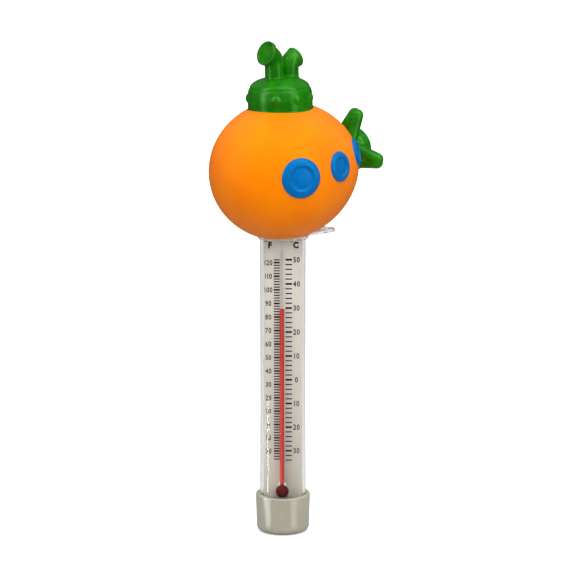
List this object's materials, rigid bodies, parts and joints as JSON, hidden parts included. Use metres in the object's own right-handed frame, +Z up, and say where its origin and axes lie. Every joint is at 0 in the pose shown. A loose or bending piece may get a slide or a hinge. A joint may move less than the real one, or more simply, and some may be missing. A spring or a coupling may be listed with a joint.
{
  "type": "floating pool thermometer",
  "caption": "Submarine-shaped float on a clear tube that holds a red spirit thermometer with a two-scale card, with a cord eye under the float and a flat grey foot cap.",
  "frame": {"origin": "on the tube's axis at the flat bottom of the end cap", "axes": "+Z up along the tube towards the float; the scale card faces -Y; the float's tail and the cord eye point 47 degrees from +Y towards +X"},
  "size_m": [0.0748, 0.0737, 0.2126],
  "materials": {
    "float_orange": "satin vinyl",
    "float_green": "glossy paint on vinyl",
    "float_blue": "semi-gloss paint on vinyl",
    "clear_tube": "clear",
    "clear_collar": "milky translucent",
    "plug": "natural",
    "card": "printed card",
    "glass": "clear",
    "spirit": "dyed liquid",
    "cushion": "foam",
    "slug": "plain",
    "cap": "satin"
  },
  "bodies": {
    "thermometer": {"float_hull": "float_orange", "conning_tower": "float_green", "cowl_fore": "float_green", "cowl_aft": "float_green", "propeller": "float_green", "tether_collar": "clear_collar", "head_plug": "plug", "tube": "clear_tube", "scale_card": "card", "glass_stem": "glass", "spirit_bulb": "spirit", "spirit_thread": "spirit", "bulb_cushion": "cushion", "ballast_slug": "slug", "end_cap": "cap", "porthole_stbd_fore": "float_blue", "porthole_stbd_mid": "float_blue", "porthole_stbd_aft": "float_blue", "porthole_port_fore": "float_blue", "porthole_port_mid": "float_blue", "porthole_port_aft": "float_blue"},
    "thread_top": {"meniscus": "spirit"}
  },
  "joints": [
    {"name": "reading", "type": "slide", "parent": "thermometer", "child": "thread_top", "axis": [0, 0, 1], "range_m": [-0.0672, 0.021], "deforming": ["spirit_thread"]}
  ]
}
